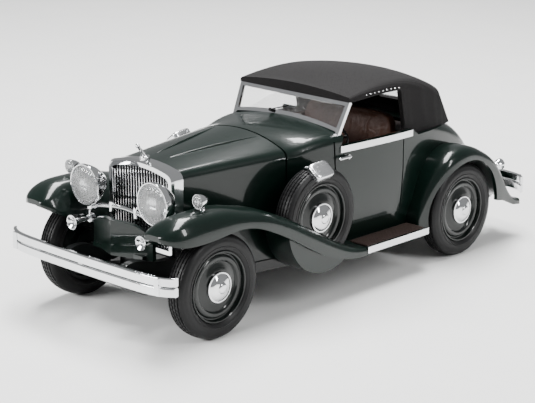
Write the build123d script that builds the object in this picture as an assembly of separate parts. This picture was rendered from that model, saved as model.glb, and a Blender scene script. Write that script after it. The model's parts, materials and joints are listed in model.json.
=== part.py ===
"""A 1:43 diecast collector car: a 1930s two-door drophead with its soft top raised.

Millimetres. +Z is up, the nose points along -Y and the car's own left is +X.
The origin is on the ground under the middle of the car's overall length.
Each function makes one sub-part, and the table at the end names the solids written to parts/.
"""
from build123d import *
from functools import cache
import math
import os

# ------------------------------------------------------------------ driving dimensions
overall_length = 107.0        # over both bumpers
overall_width = 43.0          # over the front bumper
front_axle_y = -38.0
wheelbase = 68.5
rear_axle_y = front_axle_y + wheelbase
drawn_rear_axle_y = 30.5      # the rear axle that the stations of the body are drawn for


def with_rear(y):
    """A drawn station of the tail, carried along with the rear axle."""
    return y + rear_axle_y - drawn_rear_axle_y


def aft(y):
    """A drawn station of the body: the cabin stretches with the wheelbase, the tail is carried along."""
    if y <= 0:
        return y
    return with_rear(y) if y > drawn_rear_axle_y else y * rear_axle_y / drawn_rear_axle_y


tyre_radius = 9.5
tyre_width = 4.2
bead_radius = 6.5             # where tyre and wheel disc meet
wheel_centre_x = 17.3         # middle plane of a road wheel
axle_radius = 0.8
axle_play = 0.05              # radial running clearance in the chassis
hub_cap_radius = 2.8

wall = 0.9                    # casting wall of the body and the bonnet
wing_wall = 0.8
top_wall = 0.8                # moulded wall of the soft top
shut_line = 0.3               # width of an engraved shut line
shut_depth = 0.3

plate_z = 6.4                 # underside of the chassis plate
plate_thickness = 2.0
floor_z = plate_z + plate_thickness
boss_drop = 1.0               # how far a plinth screw boss stands below the plate
boss_radius = 2.6
plinth_hole_radius = 1.05
plinth_hole_depth = 2.4
plinth_spacing = 52.0
plinth_centre_y = -6.0
screw_radius = 0.5            # the two screws that hold the chassis to the castings
screw_head_radius = 0.95
screw_head_depth = 0.6
screw_reach = 3.0             # how far a screw goes into its post
screw_post_radius = 1.5

radiator_y = -39.2            # front face of the radiator shell
radiator_foot = tyre_radius + 3.1
horn_root = radiator_foot     # height of the frame horns where they leave the radiator
bonnet_front_y = -36.5
bonnet_rear_y = -14.35
scuttle_front_y = -14.0
scuttle_rear_y = -1.9
door_front_y = -2.9
door_rear_y = aft(15.9)
cabin_rear_y = aft(20.6)      # where the deck behind the doors begins
belt_z = 27.5                 # top of the doors
top_front_y = 0.8             # front edge of the soft top, over the windscreen
deck_z = 26.1                 # top of the body under the back of the soft top
belt_strip_height = 1.25
body_rear_y = aft(50.2)

screen_foot = (13.8, -2.0, 28.3)   # lower outer corner of the windscreen
screen_head = (14.26, 1.2, 35.3)   # upper outer corner
screen_rail = 0.85            # width of the frame's bars
screen_depth = 0.7
scuttle_lip = 0.8             # how far the scuttle runs on behind the windscreen's plane
glass_thickness = 0.35

board_front_y = -0.4
board_rear_y = rear_axle_y - tyre_radius - 3.2
board_inner_x = 13.2
board_outer_x = 20.2
board_z = 7.2                 # underside of a running board
wing_clearance = 4.5          # height of a wing's crown above its tyre

spare_radius = 9.3
spare_place = (16.9, -11.3, 16.4)
well_play = 0.2               # clearance of a spare tyre in its well
well_wall = 0.65

lamp_place = (9.0, -44.4, 2 * tyre_radius + wing_clearance + 0.2)    # middle of a headlamp's lens
lamp_radius = 3.9
lamp_rise = 2.8               # from the middle of the lamp bar to the middle of a lens
lamp_length = 4.9
lamp_bar_y = -43.0
lamp_bar_half = 11.6
lamp_bar_radius = 0.42
lamp_pad = 0.55               # height of a lamp's seat above the middle of the bar
horn_place = (9.2, -47.4, lamp_place[2] - 6.4)    # middle of a horn's mouth
wing_lamp_place = (17.0, -41.2, 2 * tyre_radius + wing_clearance + 1.6)
wing_lamp_radius = 1.3
tail_lamp_place = (14.2, with_rear(49.6), 14.6)
tail_lamp_radius = 1.2

front_bumper_z = 11.3         # lower edges of the bumpers
rear_bumper_z = 9.1
rear_bumper_half = 19.2
bumper_bow = 0.6              # how far the middle of a bumper stands in front of its ends
bumper_curl = 1.9             # and how far the tips curl back beyond that

seat_top = 17.6               # length of the seat back
seat_lean = 8                 # degrees
dash_top = 29.0
dash_foot = 23.4
tub_half = 12.2
wheel_tilt = 62               # of the steering wheel's plane, from level
steering_place = (6.5, 5.6, 25.2)


# ------------------------------------------------------------------ general helpers
def largest(shape):
    """The biggest solid of a shape, without the slivers that a cut leaves."""
    return max(shape.solids(), key=lambda solid: solid.volume)


def both_sides(shape):
    """The left-hand shape and its mirror image, as separate solids."""
    return Compound(children=[shape, right_of(shape)])


def right_of(shape):
    return mirror(shape, Plane.YZ)


def spun(edges):
    """A solid of revolution about X from edges drawn in the XY plane, Y being the radius."""
    return revolve(make_face(edges), Axis.X, 360)


def spun_outline(points):
    return spun(Polyline(*points, close=True))


def facing_front(shape):
    """Turns a shape made along +X so that it points along -Y."""
    return Rot(0, 0, -90) * shape


def rod_x(radius, half_length, place=(0, 0, 0)):
    return Pos(*place) * Rot(0, 90, 0) * Cylinder(radius, 2 * half_length)


def rod_z(radius, low, high, x=0.0, y=0.0):
    centred = (Align.CENTER, Align.CENTER, Align.MIN)
    return Pos(x, y, low) * Cylinder(radius, high - low, align=centred)


def bar(points, radius):
    """A round bar along a smooth curve through the points."""
    path = Spline(*points)
    return sweep(Plane(origin=path @ 0, z_dir=path % 0) * Circle(radius), path=path)


def block(low, high, edge=0.0):
    """A box between two corners, with its upright edges rounded if asked."""
    size = [b - a for a, b in zip(low, high)]
    middle = [(a + b) / 2 for a, b in zip(low, high)]
    made = Pos(*middle) * Box(*size)
    if edge:
        made = fillet(made.edges().filter_by(Axis.Z), edge)
    return made


def side_cutter(outline, x_from, x_to):
    """A prism across the car. The closed outline is (y, z) points, or edges drawn through them."""
    drawn = isinstance(outline[0], Edge)
    face = make_face(outline if drawn else Polyline(*outline, close=True))
    across = Plane(origin=(x_from, 0, 0), x_dir=(0, 1, 0), z_dir=(1, 0, 0))
    return extrude(across * face, x_to - x_from)


def arch(y, half_width, tuck, z_low, z_edge, z_crown, corner):
    """A closed arch across the car: sides that tuck in at the foot, round shoulders, crowned top."""
    inner = half_width - corner
    rise = max(z_crown - z_edge, 0.05)
    top_radius = (inner * inner + rise * rise) / (2 * rise)
    lean = math.asin(min(inner / top_radius, 1.0))
    slope = (math.cos(lean), math.sin(lean))
    foot, knee, shoulder = (half_width - tuck, z_low), (half_width, z_edge - corner), (inner, z_edge)

    def at(x, z):
        return (x, y, z)

    edges = []
    for s in (1, -1):
        edges.append(Spline(at(s * foot[0], foot[1]), at(s * knee[0], knee[1]),
                            tangents=[(s * tuck / 4 + 1e-6, 0, 1), (0, 0, 1)]))
        edges.append(Spline(at(s * knee[0], knee[1]), at(s * shoulder[0], shoulder[1]),
                            tangents=[(0, 0, 1), (-s * slope[0], 0, slope[1])]))
    edges.append(ThreePointArc(at(*shoulder), at(0, z_crown), at(-inner, z_edge)))
    edges.append(Line(at(*foot), at(-foot[0], foot[1])))
    return Face(Wire(edges))


def arch_loft(stations, skin=0.0, foot=None):
    """A loft through arches. A skin shrinks every arch inwards, to hollow the outer one."""
    faces = []
    for y, half_width, tuck, z_low, z_edge, z_crown, corner in stations:
        low = z_low if foot is None else foot
        faces.append(arch(y, half_width - skin, tuck, low, z_edge - skin, z_crown - skin,
                          max(corner - 0.6 * skin, 0.3)))
    return loft(faces)


# ------------------------------------------------------------------ wheels
def tyre(radius=tyre_radius):
    half = tyre_width / 2
    outline = [(-half + 0.5, bead_radius), (-half, bead_radius + 1.2), (-half + 0.25, radius - 0.9),
               (-half + 0.9, radius - 0.12), (0, radius)]
    side = Spline(*outline, tangents=[(-0.6, 1), (1, 0)])
    bead = Line(outline[0], (half - 0.5, bead_radius))
    return spun([side, mirror(side, Plane.YZ), bead])


def disc_face():
    """How far out of the wheel's middle plane the middle of the disc stands."""
    return tyre_width / 2 - 0.6


def hub_reach():
    """How far out of the wheel's middle plane the end of the axle stands."""
    return disc_face() - 0.8


def wheel_disc():
    """A pressed disc: rim lips, a dished face with a raised ring, and a hub."""
    rim, face = tyre_width / 2 - 0.5, disc_face()
    outline = [(-rim, bead_radius), (-rim, bead_radius - 0.6), (-rim + 1.1, bead_radius - 1.0),
               (face - 1.3, bead_radius - 1.1), (face - 1.5, 4.2), (face - 1.2, 3.2), (-1.3, 3.0),
               (-1.3, 0), (face, 0), (face, hub_cap_radius), (face - 0.3, 3.6), (face - 0.5, 4.6),
               (face - 0.1, 5.0), (face - 0.1, 5.5), (face - 0.45, 5.8), (rim + 0.15, bead_radius - 0.35),
               (rim + 0.15, bead_radius)]
    return spun_outline(outline)


def bored_disc():
    bore = spun_outline([(-1.4, 0), (-1.4, axle_radius), (hub_reach(), axle_radius), (hub_reach(), 0)])
    return wheel_disc() - bore


def hub_cap():
    """A domed cap with a plain raised middle."""
    seat, r = disc_face(), hub_cap_radius
    dome = Spline((seat + 0.35, r), (seat + 0.85, 0.7 * r), (seat + 1.05, 0.36 * r),
                  tangents=[(1, -0.1), (0.1, -1)])
    middle = Polyline((seat + 1.05, 0.36 * r), (seat + 1.25, 0.3 * r), (seat + 1.3, 0), (seat, 0), (seat, r),
                      (seat + 0.35, r))
    return spun([dome, middle])


def axle(y):
    return rod_x(axle_radius, wheel_centre_x + hub_reach(), (0, y, tyre_radius))


def on_wheel(shape, y):
    """Places a left-hand wheel piece made about the origin."""
    return Pos(wheel_centre_x, y, tyre_radius) * shape


# ------------------------------------------------------------------ chassis
def plinth_ys():
    return plinth_centre_y - plinth_spacing / 2, plinth_centre_y + plinth_spacing / 2


def plate_plan():
    half = [(6.0, -44.0), (8.2, -41.0), (8.8, bonnet_front_y), (12.6, scuttle_front_y),
            (board_inner_x - 0.05, -10.0), (board_inner_x - 0.05, aft(19.0)), (10.0, aft(25.0)),
            (9.4, aft(40.0)), (7.6, aft(45.0))]
    return half + [(-x, y) for x, y in reversed(half)]


def frame_horn(side):
    """The curved front end of a chassis side member, which carries the bumper."""
    back, tip = bonnet_front_y, 2.9 - overall_length / 2
    edges = [Spline((back, horn_root), (-42.0, horn_root), (-47.6, 13.8), (tip, 12.9),
                    tangents=[(-1, 0), (-0.7, -0.7)]),
             Line((tip, 12.9), (tip, 11.9)),
             Spline((tip, 11.9), (-47.4, 11.6), (-43.5, 10.2), (back, floor_z),
                    tangents=[(1, 0.2), (1, -0.3)]),
             Line((back, floor_z), (back, horn_root))]
    return side_cutter(edges, side * 6.6, side * 8.0)


def front_apron():
    """The painted apron in front of the radiator's foot, folded down its middle."""
    half, sweep_back, thick = 7.9, 2.8, 0.8
    fold, low = -46.2, 12.95
    plan = [(-half, fold + sweep_back), (0, fold), (half, fold + sweep_back), (half, fold + sweep_back + thick),
            (0, fold + 1.1 * thick), (-half, fold + sweep_back + thick)]
    sheet = Pos(0, 0, low) * extrude(make_face(Polyline(*plan, close=True)), 8)
    top = Spline((-half - 0.1, 16.9), (-4.5, 18.9), (0, 19.4), (4.5, 18.9), (half + 0.1, 16.9))
    above = make_face([top, Polyline(top @ 1, (half + 0.1, 25), (-half - 0.1, 25), top @ 0)])
    sheet -= extrude(Plane.XZ.offset(50) * above, -20)
    foot = block((-6.6, fold + 1.5, low), (6.6, -43.0, low + 0.8))
    return sheet + foot - chassis_plate()


@cache
def chassis_plate():
    plate = Pos(0, 0, plate_z) * extrude(make_face(Polyline(*plate_plan(), close=True)), plate_thickness)
    made = fillet(plate.edges().filter_by(Axis.Z), 1.0)
    for side in (1, -1):
        made += frame_horn(side)
        low, high = sorted((side * 6.6, side * 8.0))
        made += block((low, 1.25 - overall_length / 2, 12.1), (high, 3.1 - overall_length / 2, 12.9))
        for y, inner, outer in ((front_axle_y, 4.8, 7.4), (rear_axle_y, 6.0, 9.2)):
            low, high = sorted((side * inner, side * outer))
            made += block((low, y - 1.9, plate_z + 1), (high, y + 1.9, tyre_radius + 1.9))
    made += block((-3.4, -35.0, plate_z - 0.9), (3.4, -21.0, plate_z), 0.8)
    made += block((-2.2, -20.0, plate_z - 0.6), (2.2, -14.0, plate_z), 0.8)
    made += block((-2.6, rear_axle_y - 3.0, plate_z - 0.8), (2.6, rear_axle_y + 3.0, plate_z), 1.2)
    made += block((-8.0, radiator_y, floor_z), (8.0, bonnet_front_y, radiator_foot))
    for y in plinth_ys():
        made += rod_z(boss_radius, plate_z - boss_drop, floor_z, y=y)
    for y in plinth_ys():
        hole_low = plate_z - boss_drop
        made -= rod_z(plinth_hole_radius, hole_low - 1, hole_low + plinth_hole_depth, y=y)
    for y in (front_axle_y, rear_axle_y):
        made -= rod_x(axle_radius + axle_play, 30, (0, y, tyre_radius))
    for x, y in screw_places():
        made -= rod_z(screw_radius, plate_z - 1, floor_z + 1, x, y)
        made -= rod_z(screw_head_radius + 0.1, plate_z - 1, plate_z + screw_head_depth, x, y)
    return made


def screw_places():
    return [(0.0, -24.0), (0.0, aft(39.0))]


def screw_post(x, y, top):
    """A post inside a casting that takes a chassis screw."""
    hole = rod_z(screw_radius, floor_z - 1, floor_z + screw_reach + 0.2, x, y)
    return rod_z(screw_post_radius, floor_z, top, x, y) - hole


def chassis_screws():
    """Cross-head screws that hold the chassis to the body, heads flush with the plate."""
    screws = []
    for x, y in screw_places():
        head_top = plate_z + screw_head_depth
        screw = rod_z(screw_head_radius, plate_z + 0.05, head_top, x, y)
        screw += rod_z(screw_radius, plate_z + 0.05, floor_z + screw_reach, x, y)
        for w, d in ((1.2, 0.25), (0.25, 1.2)):
            screw -= Pos(x, y, plate_z + 0.1) * Box(w, d, 0.5)
        screws.append(screw)
    return Compound(children=screws)


def exhaust_pipe():
    """One pipe with a silencer, glued under the chassis on the right."""
    x, pipe_radius, silencer_radius = -8.6, 0.6, 1.1
    z = plate_z - silencer_radius
    pipe = rod_along_y(pipe_radius, -26.0, aft(47.5), x, z) + rod_along_y(silencer_radius, 2.0, aft(16.0), x, z)
    return pipe - rod_along_y(pipe_radius - 0.25, aft(45.0), aft(48.0), x, z)


def rod_along_y(radius, y_from, y_to, x, z):
    return Pos(x, (y_from + y_to) / 2, z) * Rot(90, 0, 0) * Cylinder(radius, y_to - y_from)


# ------------------------------------------------------------------ bonnet and body
def bonnet_stations():
    return [(bonnet_front_y, 8.4, 0.0, floor_z, 28.0, 28.65, 1.7),
            (-29.0, 9.6, 0.0, floor_z, 28.3, 29.35, 1.8),
            (-21.5, 11.0, 0.0, floor_z, 28.6, 30.05, 1.9),
            (bonnet_rear_y, 12.25, 0.0, floor_z, 28.85, 30.75, 2.0)]


def bonnet_crease():
    """Two shallow ridges that spread rearwards along the top."""
    ridges = []
    for side in (1, -1):
        path = [(1.5, -36.2, 28.25), (3.2, -26.0, 29.46), (5.4, -15.2, 29.95)]
        line = Spline(*[(side * x, y, z) for x, y, z in path])
        ridges.append(sweep(Plane(origin=line @ 0, z_dir=line % 0) * Circle(0.25), path=line))
    return ridges


def bonnet():
    shell = arch_loft(bonnet_stations()) - arch_loft(bonnet_stations(), wall, floor_z - 2)
    for ridge in bonnet_crease():
        shell += ridge
    return shell + screw_post(*screw_places()[0], 29.0)


def body_stations():
    drawn = [(scuttle_front_y, 12.3, 0.0, floor_z, 28.9, 30.8, 2.0),
             (-8.0, 13.5, 0.3, floor_z, 29.4, 30.95, 1.9),
             (-2.4, 14.4, 0.6, floor_z, 29.8, 31.0, 1.8),
             (6.0, 15.1, 0.8, floor_z, 29.8, 31.2, 1.8),
             (15.0, 15.4, 0.9, floor_z, 29.6, 31.2, 1.8),
             (24.0, 14.9, 0.9, floor_z, 28.6, 30.4, 2.4),
             (32.0, 13.8, 0.8, floor_z, 26.6, 28.4, 3.0),
             (38.0, 12.6, 0.7, floor_z, 24.3, 26.6, 4.0),
             (43.0, 11.0, 0.6, floor_z, 21.4, 24.7, 5.0),
             (46.8, 9.0, 0.5, floor_z, 18.4, 22.0, 4.6),
             (49.0, 7.0, 0.4, floor_z, 15.2, 18.8, 3.4),
             (50.2, 5.0, 0.3, floor_z, 12.4, 15.2, 2.2)]
    return [(aft(y), *rest) for y, *rest in drawn]


def screen_y(z):
    """Where the raked plane of the windscreen stands at height z."""
    rake = (screen_head[1] - screen_foot[1]) / (screen_head[2] - screen_foot[2])
    return screen_foot[1] + (z - screen_foot[2]) * rake


@cache
def body_solid():
    """The body's outer shape as a filled block, trimmed to the belt and the deck."""
    trim = [(screen_y(60) + scuttle_lip, 60), (screen_y(belt_z) + scuttle_lip, belt_z),
            (door_rear_y + 2.6, belt_z), (cabin_rear_y, deck_z), (70, deck_z), (70, 60)]
    return arch_loft(body_stations()) - side_cutter(trim, -30, 30)


def door_lines():
    """The engraved outline of one door, as a thin wall standing in the body side."""
    outer = [(door_front_y - 0.6, belt_z + 1), (door_front_y, 20.0), (door_front_y + 0.4, 11.6),
             (door_rear_y - 0.5, 11.6), (door_rear_y, 20.0), (door_rear_y, belt_z + 1)]
    inner = [(door_front_y - 0.6 + shut_line, belt_z + 2), (door_front_y + shut_line, 20.0),
             (door_front_y + 0.4 + shut_line, 11.6 + shut_line),
             (door_rear_y - 0.5 - shut_line, 11.6 + shut_line), (door_rear_y - shut_line, 20.0),
             (door_rear_y - shut_line, belt_z + 2)]
    return side_cutter(outer, 10, 20) - side_cutter(inner, 9, 21)


def lid_lines():
    """The engraved outline of the luggage lid in the tail."""
    front, back = aft(38.6), aft(60.0)
    outer = block((-7.0, front, 12.0), (7.0, back, 40.0))
    inner = block((-7.0 + shut_line, front + shut_line, 12.0 + shut_line), (7.0 - shut_line, back + 1, 41.0))
    return outer - inner


@cache
def body_tub():
    stations = body_stations()
    hollow = stations[:-2] + [(body_rear_y - 1.8, 7.4, 0.4, floor_z, 16.0, 19.6, 3.6)]
    deck = block((-20, aft(29.0), deck_z - wall), (20, aft(60.0), deck_z + 20))
    cavity = arch_loft(hollow, wall, floor_z - 3) - deck
    shell = body_solid() - cavity
    skin = arch_loft(stations, shut_depth, floor_z - 3)
    grooves = door_lines() + right_of(door_lines()) + lid_lines()
    shell -= grooves - skin
    shell -= block((-16, rear_axle_y - 2.4, floor_z - 1), (16, rear_axle_y + 2.4, tyre_radius + 2.4))
    return shell + screw_post(*screw_places()[1], deck_z - 0.5)


# ------------------------------------------------------------------ soft top
def top_stations():
    low = deck_z - 0.1
    drawn = [(top_front_y, 14.4, 0.0, low, 36.3, 37.2, 0.7),
             (7.0, 14.4, -0.1, low, 37.2, 38.2, 1.2),
             (14.0, 14.3, -0.2, low, 37.6, 38.8, 1.8),
             (21.0, 14.0, -0.2, low, 36.95, 38.0, 2.2),
             (27.0, 13.5, -0.2, low, 35.2, 36.4, 2.2),
             (29.4, 13.2, -0.1, low, 34.0, 35.2, 2.0),
             (33.8, 12.3, 0.0, low, 26.6, 27.1, 0.5)]
    return [(aft(y), *rest) for y, *rest in drawn]


def top_shape(skin=0.0, foot=None, header=0.0, back_wall=0.0):
    """The roof and, behind its last bow, the straight back panel."""
    front, *roof, bow, tail = top_stations()
    front, bow, tail = ((front[0] + header, *front[1:]), (bow[0] - back_wall, *bow[1:]),
                        (tail[0] - back_wall, *tail[1:]))
    return arch_loft([front, *roof, bow], skin, foot) + arch_loft([bow, tail], skin, foot)


@cache
def soft_top():
    """The raised top, moulded as one rigid piece with open side windows."""
    shell = top_shape() - top_shape(top_wall, deck_z - 3, header=1.6, back_wall=0.6)
    rail_z = screen_head[2] + 0.05
    window = [(-3, 20), (-3, rail_z), (2.6, rail_z), (aft(8.0), 35.75), (aft(15.6), 35.7), (aft(17.2), 28.2),
              (aft(17.6), 20)]
    shell -= side_cutter(window, -30, 30)
    shell -= body_solid()
    shell -= rear_window_prism(4.0)
    return shell


def rear_window_plane():
    """The slope of the top's back panel."""
    return Plane(origin=(0, aft(31.35), 30.75), x_dir=(1, 0, 0), z_dir=(0, 0.87, 0.49))


def rear_window_prism(thickness):
    """The rear window's outline, as deep as asked to either side of its plane."""
    return extrude(rear_window_plane() * RectangleRounded(9.0, 3.2, 0.8), thickness / 2, both=True)


def rear_window():
    return rear_window_prism(glass_thickness)


# ------------------------------------------------------------------ wings and running boards
def wing_section(y, x_out, z_out, x_crown, z_crown, x_in, z_in, skin, z_low):
    """A wing's cross-section, filled down to z_low: outer side, crown, and inner side."""
    out, crown = (x_out - skin, y, z_out - skin), (x_crown, y, z_crown - skin)
    inn = (x_in + skin, y, z_in - skin)
    edges = [Line((out[0], y, z_low), out),
             Spline(out, crown, tangents=[(0, 0, 1), (-1, 0, 0)]),
             Spline(crown, inn, tangents=[(-1, 0, 0), (-0.25, 0, -1)]),
             Line(inn, (inn[0], y, z_low)),
             Line((inn[0], y, z_low), (out[0], y, z_low))]
    return Face(Wire(edges))


def wing_loft(stations, skin=0.0, z_low=2.0):
    return loft([wing_section(*station, skin, z_low) for station in stations])


def risen(z):
    """A drawn height of a wing, raised with the tyres but still meeting the running board."""
    drawn_crown = 23.5
    return floor_z + (z - floor_z) * (2 * tyre_radius + wing_clearance - floor_z) / (drawn_crown - floor_z)


def raised(stations):
    return [(y, x_out, risen(z_out), x_crown, risen(z_crown), x_in, risen(z_in))
            for y, x_out, z_out, x_crown, z_crown, x_in, z_in in stations]


def front_wing_stations():
    return raised([(-50.6, 17.5, 20.3, 15.8, 20.9, 13.9, 20.2),
                   (-49.6, 19.3, 19.9, 16.2, 21.85, 12.6, 19.8),
                   (-47.6, 20.4, 19.6, 16.6, 22.95, 11.8, 18.8),
                   (-44.0, 20.8, 19.6, 16.9, 23.55, 11.5, 17.6),
                   (-39.0, 20.9, 20.0, 17.0, 23.5, 9.6, 16.4),
                   (-34.0, 20.9, 20.0, 17.0, 22.85, 7.6, 16.6),
                   (-29.0, 20.9, 19.2, 17.1, 21.7, 7.6, 15.6),
                   (-24.0, 20.9, 17.4, 17.4, 19.8, 8.0, 14.0),
                   (-19.0, 20.9, 14.8, 17.8, 17.4, 9.0, 12.2),
                   (-14.0, 20.9, 12.0, 18.2, 14.6, 10.5, 10.6),
                   (-9.0, 20.8, 9.6, 18.4, 11.9, 12.0, 9.4),
                   (-4.5, 20.7, 8.3, 18.3, 9.8, 12.6, 8.7),
                   (board_front_y - 0.1, 20.6, 7.8, 18.2, 8.7, 12.8, 8.4)])


def below_edge(drawn):
    """Everything below a drawn edge, as edges for a side cutter."""
    line = [(y, risen(z)) for y, z in drawn]
    (front, front_z), (back, back_z) = line[0], line[-1]
    return [Spline(*line), Line((back, back_z), (back, 0)), Line((back, 0), (front, 0)),
            Line((front, 0), (front, front_z))]


def front_wing_lower_edge():
    """The side view below the wing's edge, which is cut away."""
    drawn = [(-51.5, 20.6), (-48.4, 19.1), (-45.0, 18.8), (-40.0, 19.0), (-35.0, 19.5), (-30.5, 18.9),
             (-26.0, 17.1), (-20.0, 14.0), (-15.0, 11.1), (-10.0, 8.8), (-5.0, 7.5), (2.0, board_z)]
    return below_edge(drawn)


def front_wing_inner_edge():
    drawn = [(-51.5, 20.6), (-48.0, 18.3), (-43.0, 16.4), (-36.5, 14.6), (-28.0, 12.6), (-20.0, 10.6),
             (-12.0, 8.8), (2.0, board_z)]
    return below_edge(drawn)


def front_wing():
    stations = front_wing_stations()
    solid = wing_loft(stations)
    inner = raised([(stations[0][0] + 0.7, 16.9, 20.0, 15.8, 21.2, 14.2, 20.0)]) + stations[1:-1]
    inner += [(board_front_y + 1.0, *stations[-1][1:])]
    hollow = wing_loft(inner, wing_wall, 1.0)
    shell = solid - hollow
    shell -= side_cutter(front_wing_lower_edge(), 15.0, 30)
    shell -= side_cutter(front_wing_inner_edge(), 0, 15.0)
    x, y, z = spare_place
    half = tyre_width / 2 + well_play
    reach = spare_radius + well_play
    well = rod_x(reach + well_wall, half + well_wall, (x, y, z)) & solid
    shell = shell + well - rod_x(reach, half, (x, y, z))
    shell -= arch_loft(bonnet_stations(), -0.05, 0)
    return largest(shell - front_cut_block() - body_solid())


def front_cut_block():
    """The room of the chassis plate and the radiator, which the wing stops at."""
    return (block((-15, -16, -1), (board_inner_x, 4, floor_z)) + block((-9.0, -37, -1), (9.0, -10, floor_z))
            + block((0, radiator_y - 0.1, 0), (8.65, bonnet_front_y + 0.1, 30)))


def rear_wing_stations():
    nose = [(board_rear_y + 0.1, 17.6, 8.1, 15.8, 9.0, 13.0, 8.6),
            (board_rear_y + 1.2, 18.2, 11.2, 16.4, 13.0, 13.0, 12.2),
            (board_rear_y + 3.2, 19.1, 15.2, 17.0, 17.4, 13.0, 16.6)]
    drawn = [(24.0, 20.2, 18.7, 17.6, 20.9, 13.0, 19.8),
             (28.0, 20.7, 20.3, 17.8, 22.45, 12.6, 21.0),
             (32.0, 20.6, 20.3, 17.7, 22.45, 12.0, 20.6),
             (36.0, 20.4, 18.9, 17.5, 20.9, 11.2, 19.0),
             (40.0, 20.1, 16.4, 17.3, 18.4, 10.6, 16.6),
             (43.0, 19.8, 13.0, 17.2, 15.0, 10.3, 13.2),
             (45.4, 19.5, 9.9, 17.1, 11.5, 10.3, 10.1),
             (47.6, 19.3, 8.1, 17.0, 9.1, 10.4, 8.3),
             (50.4, 19.0, 7.3, 16.9, 7.9, 10.6, 7.4)]
    return raised(nose + [(with_rear(y), *rest) for y, *rest in drawn])


def rear_wing():
    stations = rear_wing_stations()
    shell = wing_loft(stations) - wing_loft(stations, wing_wall, 1.0)
    arch_cut = rod_x(tyre_radius + 0.9, 10, (22, rear_axle_y, tyre_radius))
    tail_edge = [(with_rear(y), z) for y, z in ((38.0, 10.2), (43.5, 9.0), (47.6, 7.2), (52.0, 6.4), (52.0, 0))]
    below = [(board_rear_y - 8, 0), (board_rear_y - 8, 8.0), (board_rear_y + 3, 8.0), *tail_edge]
    shell = shell - side_cutter(below, 0, 30) - (arch_cut & block((15.0, 0, 0), (30, with_rear(60), 40)))
    shell -= block((0, 0, -1), (board_inner_x, with_rear(25), floor_z))
    shell -= block((0, with_rear(24), -1), (10.2, with_rear(60), floor_z))
    return largest(shell - body_solid())


def running_board():
    plank = block((board_inner_x, board_front_y, board_z), (board_outer_x, board_rear_y, floor_z))
    return plank - body_solid()


def running_board_mats():
    """Ribbed mats glued to the running boards."""
    low, high = floor_z, floor_z + 0.3
    mat = block((15.2, board_front_y + 0.8, low), (board_outer_x - 0.2, board_rear_y - 0.4, high))
    rib, gap = 0.22, 0.48
    for i in range(9):
        x = 15.55 + i * gap
        mat += block((x, board_front_y + 0.9, high), (x + rib, board_rear_y - 0.5, high + 0.12))
    return both_sides(mat - body_solid())


def step_strips():
    """Bright strips along the outer edges of the running boards."""
    strip = block((board_outer_x, board_front_y, board_z + 0.3),
                  (board_outer_x + 0.5, board_rear_y, floor_z + 0.35))
    strip += block((board_outer_x - 0.19, board_front_y, floor_z),
                   (board_outer_x + 0.5, board_rear_y, floor_z + 0.35))
    return both_sides(strip)


# ------------------------------------------------------------------ radiator
def radiator_outline(y, inset):
    return arch(y, 8.6 - inset, 0.0, radiator_foot + inset, 28.1 - inset, 28.9 - inset, 1.8 - 0.5 * inset)


def radiator_shell():
    """The bright surround, with a stepped front edge."""
    surround = loft([radiator_outline(radiator_y, 0.35), radiator_outline(radiator_y + 0.5, 0.0)])
    surround += loft([radiator_outline(radiator_y + 0.5, 0.0), radiator_outline(bonnet_front_y - 0.05, 0.05)])
    opening = loft([radiator_outline(radiator_y - 1, 1.1), radiator_outline(bonnet_front_y + 1, 1.1)])
    return surround - opening


def radiator_grille():
    """A core plate with upright fins in front of it."""
    core = loft([radiator_outline(radiator_y + 1.3, 1.1), radiator_outline(bonnet_front_y - 0.05, 1.1)])
    outline = loft([radiator_outline(radiator_y + 0.5, 1.1), radiator_outline(radiator_y + 1.4, 1.1)])
    pitch, thick, count = 0.72, 0.3, 21
    for i in range(count):
        x = (i - (count - 1) / 2) * pitch
        core += outline & block((x - thick / 2, radiator_y, 12), (x + thick / 2, radiator_y + 1.4, 30))
    return core


def radiator_cap():
    """A filler cap with a plain swept finial."""
    base_z = 28.75
    cap = rod_z(0.95, base_z, base_z + 0.9, y=radiator_y + 1.4)
    cap = fillet(cap.edges().group_by(Axis.Z)[-1], 0.3)
    fin = loft([Pos(0, radiator_y + 1.4, base_z + 0.6) * Circle(0.55),
                Pos(0, radiator_y + 0.7, base_z + 1.7) * Circle(0.4),
                Pos(0, radiator_y - 0.3, base_z + 2.9) * Circle(0.3)])
    tip = Pos(0, radiator_y - 0.3, base_z + 2.9) * Sphere(0.42)
    return (cap + fin + tip) - loft([radiator_outline(radiator_y + 0.5, 0.0),
                                     radiator_outline(bonnet_front_y, 0.0)])


# ------------------------------------------------------------------ bumpers
def bumper_bar(y_face, z_low, height, half_width, forward):
    """One bar in plan: a shallow arc with its ends curled back, extruded upright."""
    thick, samples = 0.9, 6

    def curve(offset):
        points = []
        for i in range(-samples, samples + 1):
            u = math.sin(math.pi / 2 * i / samples)
            back = bumper_bow * u ** 2 + bumper_curl * u ** 10 + offset
            points.append((half_width * u, y_face + forward * back))
        return points

    front, back = Spline(*curve(0)), Spline(*curve(thick))
    face = make_face([front, back, Line(front @ 0, back @ 0), Line(front @ 1, back @ 1)])
    made = Pos(0, 0, z_low) * extrude(face, height)
    long_edges = made.edges().filter_by(lambda e: e.length > half_width)
    return fillet(long_edges, 0.24)


def bumper_pair(y_face, z_low, half_width, forward):
    """Two bars held by a middle clamp and a clamp near each end."""
    height, gap = 1.65, 0.15
    made = bumper_bar(y_face, z_low, height, half_width, forward)
    made += bumper_bar(y_face, z_low + height + gap, height, half_width, forward)
    end_back = 0.8 * bumper_bow + 0.35
    for x, back in ((0, 0.35), (half_width * 0.88, end_back), (-half_width * 0.88, end_back)):
        near, far = sorted((y_face + forward * (back - 0.1), y_face + forward * (back + 0.9)))
        made += block((x - 0.55, near, z_low + 0.2), (x + 0.55, far, z_low + 2 * height + gap - 0.2))
    return made


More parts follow.
